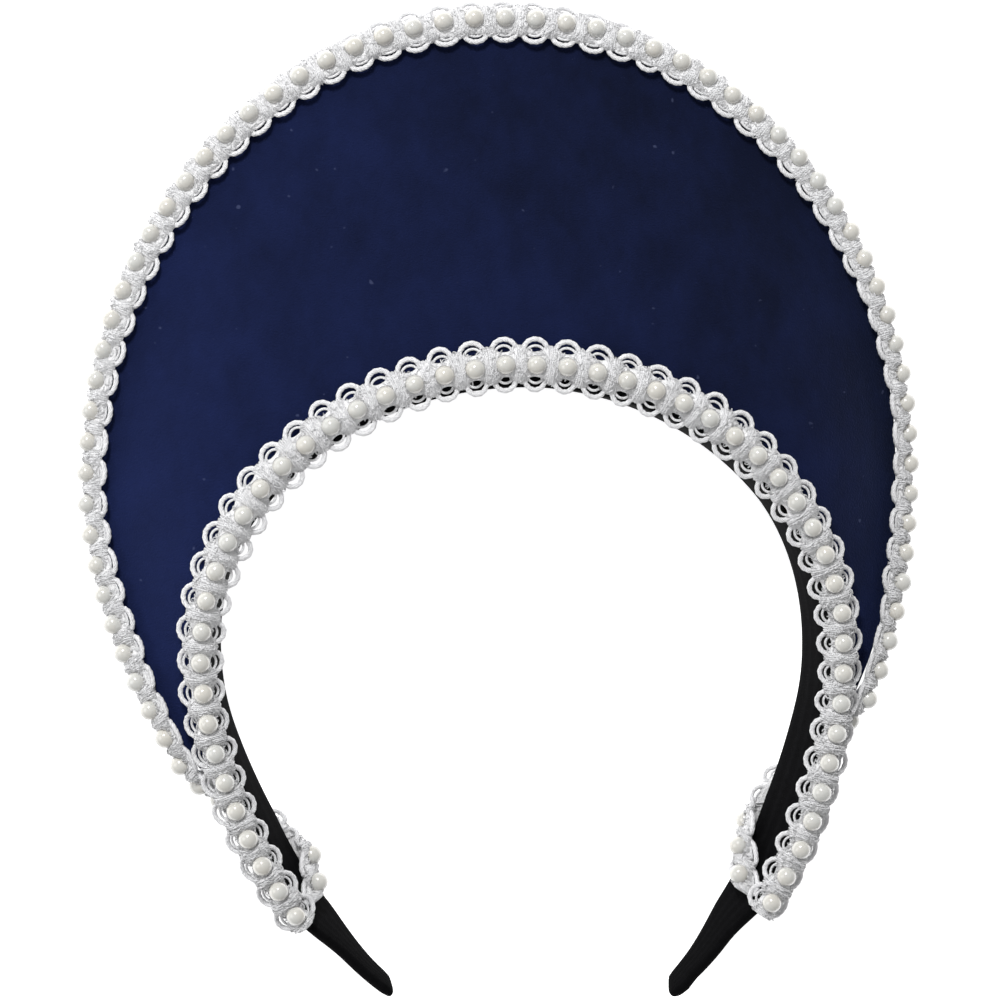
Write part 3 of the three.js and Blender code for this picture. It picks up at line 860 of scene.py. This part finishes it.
@dataclass
class Headband:
    """Springy band covered in black cloth."""

    lines: HoodLines
    shift: Vector
    finish: ClothFinish = field(default_factory=ClothFinish)
    stations: int = 240
    round_points: int = 4
    tip_extra: tuple[float, float] = (-1.4, 4.0)
    tip_round: float = 2.4
    tip_rings: int = 6

    def section(self, turn: float, grow: float) -> list[Vector]:
        """Rounded section of the band at a turn.

        Args:
            turn: angle from the crown.
            grow: share of the full section, under 1 in the rounded tips.

        Returns:
            The section's points.
        """
        s = self.lines.band_station(turn)
        end = self.lines.band_end + self.tip_extra[int(turn > 0)] / self.lines.leg_reach
        full = self.lines.band_width * row_value(self.lines.band_rows, min(1.0, abs(turn) / end), "width")
        drawn = s["width"] * self.lines.drawn_in(s["at"])
        thickness, width = self.lines.band_thickness, full - drawn
        radius = min(thickness / 2 - 0.05, width / 3)
        points = []
        for t_end, b_end, start in ((1, 0, 90), (1, 1, 0), (0, 1, -90), (0, 0, -180)):
            t_centre = radius if t_end == 0 else thickness - radius
            b_centre = radius if b_end == 0 else width - radius
            for i in range(self.round_points + 1):
                angle = math.radians(start - 90 * i / self.round_points)
                t = t_centre + radius * math.cos(angle)
                b = b_centre - radius * math.sin(angle)
                t = mix(thickness / 2, t, grow)
                b = mix(width / 2, b, grow)
                points.append(s["origin"] + s["through"] * t + s["back"] * (b + drawn) + self.shift)
        return points

    def build(self) -> Piece:
        """Makes the covered band."""
        left, right = (self.lines.band_end + extra / self.lines.leg_reach for extra in self.tip_extra)
        tip, count = self.tip_round / self.lines.leg_reach, self.tip_rings
        rounding = [(tip * (1 - math.cos(math.pi / 2 * i / count)),
                     math.sin(math.pi / 2 * (i + 0.6) / (count + 0.6))) for i in range(count)]
        rings = [(-left + inwards, grow) for inwards, grow in rounding]
        rings += [(mix(-left + tip, right - tip, i / self.stations), 1.0) for i in range(self.stations + 1)]
        rings += [(right - inwards, grow) for inwards, grow in rounding[::-1]]
        points = np.array([self.section(turn, grow) for turn, grow in rings]) * MM
        bm = skin(points, 2 * (self.lines.band_width + self.lines.band_thickness) * MM, 0.40)
        piece = seal(bm, "headband_cloth", self.finish.build())
        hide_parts("headband")
        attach(piece, "root")
        return piece


@dataclass
class CrescentPanel:
    """Stiff crescent under velvet."""

    lines: HoodLines
    shift: Vector
    finish: VelvetFinish = field(default_factory=VelvetFinish)
    stations: int = 240
    face_points: int = 26
    puff: float = 0.35

    def section(self, share: float, ends: Ends) -> list[Vector]:
        """Closed section of the panel from the band to the rim and back.

        Args:
            share: -1 at the left end to 1 at the right one.
            ends: both panel ends by side.

        Returns:
            The section's points.
        """
        s = self.lines.rim_station(share, ends)
        half = self.lines.panel_thickness / 2
        curve = []
        for i in range(self.face_points + 1):
            v = i / self.face_points
            point = (s["inner"] * (1 - v) * (1 - 2 * v) + s["middle"] * 4 * v * (1 - v)
                     + s["rim"] * v * (2 * v - 1))
            curve.append((v, point))
        start = s["front"] - s["inner"]
        front, back = [], []
        for v, point in curve:
            thick = s["face"] * half
            blend = ease(v, 0, 0.15)
            swell = self.puff * noise.noise(point * 0.028) * math.sin(math.pi * min(1, v * 1.02))
            swell *= ease(s["width"], 4, 30)
            out = start.lerp(thick, blend)
            front.append(point + out + s["face"] * swell)
            back.append(point - out + s["face"] * swell)
        edge = [s["rim"] + s["face"] * half * math.cos(a) + s["out"] * half * 0.5 * math.sin(a)
                for a in (math.radians(45), math.radians(90), math.radians(135))]
        return [p + self.shift for p in front + edge + back[::-1]]

    def build(self) -> Piece:
        """Makes the velvet panel."""
        ends = {side: self.lines.panel_end(side) for side in (-1, 1)}
        shares = [2 * i / self.stations - 1 for i in range(self.stations + 1)]
        rings = np.array([self.section(share, ends) for share in shares]) * MM
        piece = seal(skin(rings, 0.12, 0.42), "crescent_velvet", self.finish.build())
        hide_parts("crescent_panel")
        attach(piece, "root")
        return piece


@dataclass(frozen=True)
class LoopRow:
    """A row of loops of one cord along both edges of the braid, in millimetres.

    It starts inwards of the outer loops' row and rises less by lower. Its loops differ a little, by spread.
    """

    label: str
    half: float
    radius: float
    rings: int
    sides: int
    plies: int
    spread: float
    inwards: float = 0.0
    lower: float = 0.0


PICOTS = LoopRow("picots", 2.6, 0.56, 44, 7, 2, 0.035)
THIN_LOOPS = LoopRow("thin_loops", 1.9, 0.3, 22, 5, 0, 0.05, inwards=0.5, lower=1.0)


@dataclass
class PearlBraid:
    """Woven braid with a pair of picot loops on both edges beside every pearl."""

    name: str
    node: str
    pearl_node: str
    ribbon: Ribbon
    sizes: BraidSizes
    yarn: Material
    cord: Material
    pearl: Material
    seed: int = 1
    body_rings: int = 12
    wrap_passes: int = 7
    puff: float = 1.7
    waist: float = 2.75
    picot_start: float = 2.9
    picot_rise: float = 2.75
    fuzz_a_cell: int = 60
    pearl_sink: float = 1.1
    wrap_yarn: float = 0.24
    fuzz_yarn: float = 0.14
    twist_length: float = 2.6
    loop_sweep: tuple[float, float] = (-32, 212)
    loop_level: float = -0.42
    wrap_reach: float = 4.15
    pearl_scatter: tuple[float, float, float] = (0.06, 0.08, 0.012)

    def __post_init__(self) -> None:
        """Seeds the small differences between cells."""
        self.random = np.random.default_rng(self.seed)

    def cell_starts(self) -> np.ndarray:
        """Distance along the path of every cell's start."""
        return np.arange(self.ribbon.count) * self.ribbon.pitch

    def between_pearls(self, s: np.ndarray) -> np.ndarray:
        """1 midway between two pearls and 0 beside one, at the distances s."""
        return 0.5 + 0.5 * np.cos(math.tau * s / self.ribbon.pitch)

    def half_width(self, s: np.ndarray) -> np.ndarray:
        """Half the body's width at the distances s."""
        notch = self.between_pearls(s)
        spare = np.clip(np.minimum(s, self.ribbon.total - s) / 2.5, 0, 1)
        half = self.waist + (self.sizes.notch_reach - 0.15 - self.waist) * notch ** 1.4
        return half * (0.4 + 0.6 * np.sqrt(spare))

    def top(self, s: np.ndarray, t: np.ndarray) -> np.ndarray:
        """Height of the body's top: puffed up between two pearls, low beside one."""
        notch = self.between_pearls(s)
        across = np.minimum(np.abs(t) / self.half_width(s), 1)
        puff = self.puff * notch ** 1.2 * (1 - across ** 2.2)
        lip = 0.4 * (1 - notch) * across ** 1.5 * (1 - across ** 6)
        return 0.12 + puff + lip - 0.3 * across ** 6

    def body(self) -> Piece:
        """Woven body, wide between two pearls and narrow beside one."""
        across = np.linspace(-1, 1, 11)
        rings = []
        for s in np.linspace(0, self.ribbon.total, self.ribbon.count * self.body_rings + 1):
            distance = np.full(11, s)
            width = across * self.half_width(distance)
            upper = np.stack([distance, width, self.top(distance, width)], axis=1)
            lower = np.stack([distance[:9], width[-2:0:-1], np.full(9, -0.9 * self.sizes.thickness)], axis=1)
            rings.append(np.concatenate([upper, lower]))
        flat = np.array(rings)
        placed = self.ribbon.place(flat.reshape(-1, 3)).reshape(flat.shape)
        return seal(skin(placed, 0.018, self.ribbon.total * MM), f"{self.name}_body", self.yarn)

    def edge_cord(self, row: LoopRow, side: int) -> BMesh:
        """One cord that runs along an edge in loops.

        Args:
            row: the row of loops.
            side: 1 for the front edge and -1 for the back one.

        Returns:
            The cord's bmesh.
        """
        points = []
        for cell in self.cell_starts():
            tall = 1 + row.spread * self.random.normal()
            wide = 1 + row.spread * self.random.normal()
            middle = cell + self.ribbon.pitch / 2 + row.spread * 1.5 * self.random.normal()
            tilt = 0.25 + 0.12 * self.random.normal()
            for i in range(row.rings):
                angle = math.radians(mix(*self.loop_sweep, (i + 0.5) / row.rings))
                t = self.picot_start - row.inwards + (self.picot_rise - row.lower) * tall * math.sin(angle)
                n = self.loop_level + tilt * max(0.0, math.sin(angle))
                points.append((middle - row.half * wide * math.cos(angle), side * t, n))
        flat = np.array(points)
        flat[:, 0] = np.clip(flat[:, 0], 0, self.ribbon.total)
        for _ in range(2):
            flat[1:-1] = 0.25 * flat[:-2] + 0.5 * flat[1:-1] + 0.25 * flat[2:]
        centres = self.ribbon.place(flat)
        lengths = run_lengths(centres)
        LOG.info("%s %s side %d: %.2f m of cord", self.name, row.label, side, lengths[-1])
        turns = lengths / (self.twist_length * MM) * math.tau
        tube = tube_rings(centres, row.radius * MM, row.sides, row.plies, turns)
        return skin(tube, math.tau * row.radius * MM, lengths[-1])

    def loops(self, row: LoopRow) -> Piece:
        """The row's loops on both edges, as one piece."""
        whole, other = (self.edge_cord(row, side) for side in (1, -1))
        scratch = bpy.data.meshes.new("scratch")
        other.to_mesh(scratch)
        other.free()
        whole.from_mesh(scratch)
        bpy.data.meshes.remove(scratch)
        return seal(whole, f"{self.name}_{row.label}", self.cord)

    def wraps(self) -> Piece:
        """Yarn that runs to and fro across the body between two pearls."""
        passes, steps = self.wrap_passes, 9
        order = np.arange((self.ribbon.count + 1) * passes)
        notch, k = np.divmod(order, passes)
        lane = (k + 0.5) / passes * 2 - 1
        v = np.linspace(-1, 1, steps)[None, :] * np.where(k % 2 == 0, 1, -1)[:, None]
        spread = (1.2 + 0.5 * v * v) * lane[:, None]
        s = notch[:, None] * self.ribbon.pitch + 1.1 * spread + 0.07 * self.random.normal(size=v.shape)
        s = np.clip(s, 0, self.ribbon.total)
        t = v * (self.wrap_reach - 0.6 * lane ** 2)[:, None] * np.minimum(1, self.half_width(s) / 2.8)
        n = self.top(s, t) + 0.14 + 0.1 * self.random.normal(size=v.shape)
        return self.thread_piece(np.stack([s, t, n], axis=-1), self.wrap_yarn, 4, "wraps")

    def fuzz(self) -> Piece:
        """Fine threads that stand out of the weave and lie over the pearls' feet."""
        count = self.ribbon.count * self.fuzz_a_cell
        u = np.array((-1, -0.75, -0.28, 0.28, 0.75, 1))[None, :]
        middle_s = np.sort(self.random.uniform(0, self.ribbon.total, count))[:, None]
        middle_t = self.random.uniform(-0.97, 0.97, count)[:, None] * self.half_width(middle_s)
        heading = self.random.normal(math.pi / 2, 0.85, count)[:, None]
        half = self.random.uniform(0.45, 1.15, count)[:, None]
        curl = self.random.normal(0, 0.35, count)[:, None] * (1 - u * u)
        s = middle_s + u * half * np.cos(heading) - curl * np.sin(heading)
        t = middle_t + u * half * np.sin(heading) + curl * np.cos(heading)
        s = np.clip(s, 0, self.ribbon.total)
        lift = self.random.uniform(0.25, 0.75, count)[:, None]
        n = self.top(s, t) + lift * (1 - u * u) - 0.35 * np.abs(u) ** 8
        return self.thread_piece(np.stack([s, t, n], axis=-1), self.fuzz_yarn, 3, "fuzz")

    def thread_piece(self, flat: np.ndarray, radius: float, sides: int, label: str) -> Piece:
        """One long thread through all the passes, laid on the braid.

        Args:
            flat: passes by points by s, t, n in millimetres.
            radius: the thread's radius.
            sides: points a ring.
            label: the piece's name after the braid's.

        Returns:
            The piece.
        """
        centres = self.ribbon.place(flat.reshape(-1, 3))
        length = run_lengths(centres)[-1]
        bm = skin(tube_rings(centres, radius * MM, sides), math.tau * radius * MM, length)
        return seal(bm, f"{self.name}_{label}", self.cord)

    def pearls(self) -> Piece:
        """The round pearls, each a little different in size and seat."""
        radius = self.sizes.pearl_diameter / 2
        shape = bmesh.new()
        bmesh.ops.create_uvsphere(shape, u_segments=16, v_segments=10, radius=radius * MM)
        template = bpy.data.meshes.new("scratch")
        shape.to_mesh(template)
        shape.free()
        bm = bmesh.new()
        lift, sidestep, growth = self.pearl_scatter
        distances = self.cell_starts() + self.ribbon.pitch / 2
        seats, fronts, facings = self.ribbon.frames(distances)
        for seat, front, facing in zip(seats, fronts, facings):
            before = len(bm.verts)
            bm.from_mesh(template)
            bm.verts.ensure_lookup_table()
            height = self.sizes.pearl_height - self.pearl_sink + lift * self.random.normal()
            centre = Vector(seat) + Vector(facing) * height
            centre += Vector(front) * sidestep * self.random.normal()
            along = Vector(front).cross(Vector(facing)).normalized()
            turned = Matrix((front, along.cross(Vector(front)), along)).transposed().to_4x4()
            size = 1 + growth * self.random.normal()
            move = Matrix.Translation(centre * MM) @ turned @ Matrix.Scale(size, 4)
            bmesh.ops.transform(bm, matrix=move, verts=bm.verts[before:])
        bpy.data.meshes.remove(template)
        bmesh.ops.recalc_face_normals(bm, faces=bm.faces)
        return seal(bm, f"{self.name}_pearls", self.pearl)

    def build(self) -> list[Piece]:
        """Makes and dresses every piece of the braid."""
        woven = [self.body(), self.loops(PICOTS), self.loops(THIN_LOOPS), self.wraps(), self.fuzz()]
        strung = [self.pearls()]
        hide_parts(self.node)
        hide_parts(self.pearl_node)
        for piece in woven + strung:
            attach(piece, "root")
        return woven + strung


@dataclass(frozen=True)
class Studio:
    """Pale floor, soft lights and the camera."""

    azimuth: float = 8.302
    elevation: float = 5.657
    distance: float = 1.0
    aim: tuple[float, float, float] = (-0.0018, 0.00145, 0.012)
    roll: float = -1.171
    pixel: float = 0.00022 / 0.99
    sensor: float = 36.0

    def camera(self) -> Piece:
        """Camera nearly straight over the hood."""
        a, t = math.radians(self.azimuth), math.radians(self.elevation)
        back = Vector((-math.sin(a) * math.cos(t), math.sin(t), math.cos(a) * math.cos(t)))
        right = Vector((0, 1, 0)).cross(back).normalized()
        up = back.cross(right)
        roll = math.radians(self.roll)
        right, up = right * math.cos(roll) + up * math.sin(roll), up * math.cos(roll) - right * math.sin(roll)
        data = bpy.data.cameras.new("camera")
        data.sensor_width = self.sensor
        data.lens = self.sensor * self.distance / self.pixel / 1001
        data.clip_start, data.clip_end = 0.05, 20
        camera = bpy.data.objects.new("camera", data)
        turned = Matrix((right, up, back)).transposed().to_4x4()
        camera.matrix_world = Matrix.Translation(Vector(self.aim) + back * self.distance) @ turned
        bpy.context.scene.collection.objects.link(camera)
        bpy.context.scene.camera = camera
        return camera

    def lamp(self, name: str, place: Sequence[float], size: float, power: float) -> None:
        """Adds a square soft light that looks at the hood.

        Args:
            name: the light's name.
            place: its position.
            size: its side.
            power: its power in watts.
        """
        data = bpy.data.lights.new(name, "AREA")
        data.shape, data.size, data.energy = "SQUARE", size, power
        lamp = bpy.data.objects.new(name, data)
        lamp.location = place
        lamp.rotation_euler = (-Vector(place)).to_track_quat("-Z", "Y").to_euler()
        bpy.context.scene.collection.objects.link(lamp)

    def build(self) -> None:
        """Sets up floor, world, lights and camera."""
        bm = bmesh.new()
        bmesh.ops.create_grid(bm, x_segments=1, y_segments=1, size=3)
        floor = seal(bm, "floor", FloorFinish().build())
        world = bpy.data.worlds.new("soft_room")
        world.use_nodes = True
        world.node_tree.nodes["Background"].inputs["Color"].default_value = (1, 1, 1, 1)
        world.node_tree.nodes["Background"].inputs["Strength"].default_value = 0.43
        bpy.context.scene.world = world
        self.lamp("key", (-0.42, 1.15, 1.25), 0.34, 24)
        self.lamp("left_fill", (-1.6, 0.1, 0.9), 1.0, 6)
        bpy.context.scene.view_settings.view_transform = "Standard"
        self.camera()


def main() -> None:
    """Builds the hood piece by piece and reports each one."""
    logging.basicConfig(level=logging.INFO, format="%(message)s")
    lines, sizes = HoodLines(), BraidSizes()
    shift = lines.frame_shift()
    LOG.info("frame shift %s mm", [round(x, 3) for x in shift])
    made = [Headband(lines, shift).build(), CrescentPanel(lines, shift).build()]
    yarn = YarnFinish(name="white_weave", strand=0.00045, crossed=True).build()
    cord = YarnFinish(name="white_cord", strand=0.0004).build()
    pearl = PearlFinish().build()
    inner = PearlBraid("inner_trim", "inner_braid", "inner_pearls", inner_ribbon(lines, sizes, shift),
                       sizes, yarn, cord, pearl, seed=3)
    outer = PearlBraid("outer_trim", "outer_braid", "outer_pearls", outer_ribbon(lines, sizes, shift),
                       sizes, yarn, cord, pearl, seed=8, puff=1.6, waist=3.4, picot_start=3.2, picot_rise=2.2,
                       pearl_sink=0.95)
    made += inner.build() + outer.build()
    Studio().build()
    for piece in made:
        triangles = sum(len(face.vertices) - 2 for face in piece.data.polygons)
        LOG.info("%s: %d triangles", piece.name, triangles)


if __name__ == "__main__":
    main()
